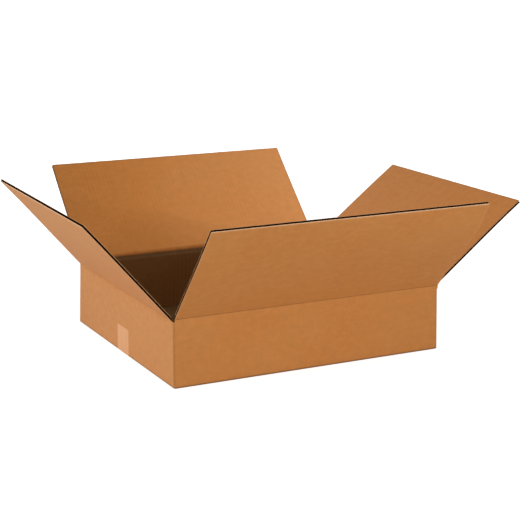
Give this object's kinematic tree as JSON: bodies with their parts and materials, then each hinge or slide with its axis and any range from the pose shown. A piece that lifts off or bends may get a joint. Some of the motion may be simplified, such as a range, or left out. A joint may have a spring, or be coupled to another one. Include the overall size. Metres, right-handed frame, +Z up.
{
  "type": "open slotted carton with four top flaps",
  "caption": "Shallow corrugated carton standing open: square-cornered body with a taped folded bottom and hinged top flaps leaning outwards.",
  "frame": {"origin": "middle of the base, on the surface that the carton stands on", "axes": "+Z up out of the open top, +X along the front wall to its right end, +Y from the front wall to the back wall"},
  "size_m": [0.7648, 0.696, 0.2689],
  "materials": {
    "board_body": "matt brown kraft facings",
    "board_flaps": "matt brown kraft facings, open flutes at the free edge",
    "tape_film": "clear buff carton tape, low gloss"
  },
  "bodies": {
    "box": {"box_body": "board_body", "sealing_tape": "tape_film"},
    "front_flap": {"front_flap": "board_flaps"},
    "back_flap": {"back_flap": "board_flaps"},
    "left_flap": {"left_flap": "board_flaps"},
    "right_flap": {"right_flap": "board_flaps"}
  },
  "joints": [
    {"name": "front_fold", "type": "hinge", "parent": "box", "child": "front_flap", "pos_m": [0, -0.2072, 0.108], "axis": [-1, 0, 0], "range_deg": [-81, 130]},
    {"name": "back_fold", "type": "hinge", "parent": "box", "child": "back_flap", "pos_m": [0, 0.2072, 0.108], "axis": [1, 0, 0], "range_deg": [-75, 136]},
    {"name": "left_fold", "type": "hinge", "parent": "box", "child": "left_flap", "pos_m": [-0.2326, 0, 0.1037], "axis": [0, 1, 0], "range_deg": [-78.5, 131]},
    {"name": "right_fold", "type": "hinge", "parent": "box", "child": "right_flap", "pos_m": [0.2326, 0, 0.1037], "axis": [0, -1, 0], "range_deg": [-67, 142.5]}
  ]
}
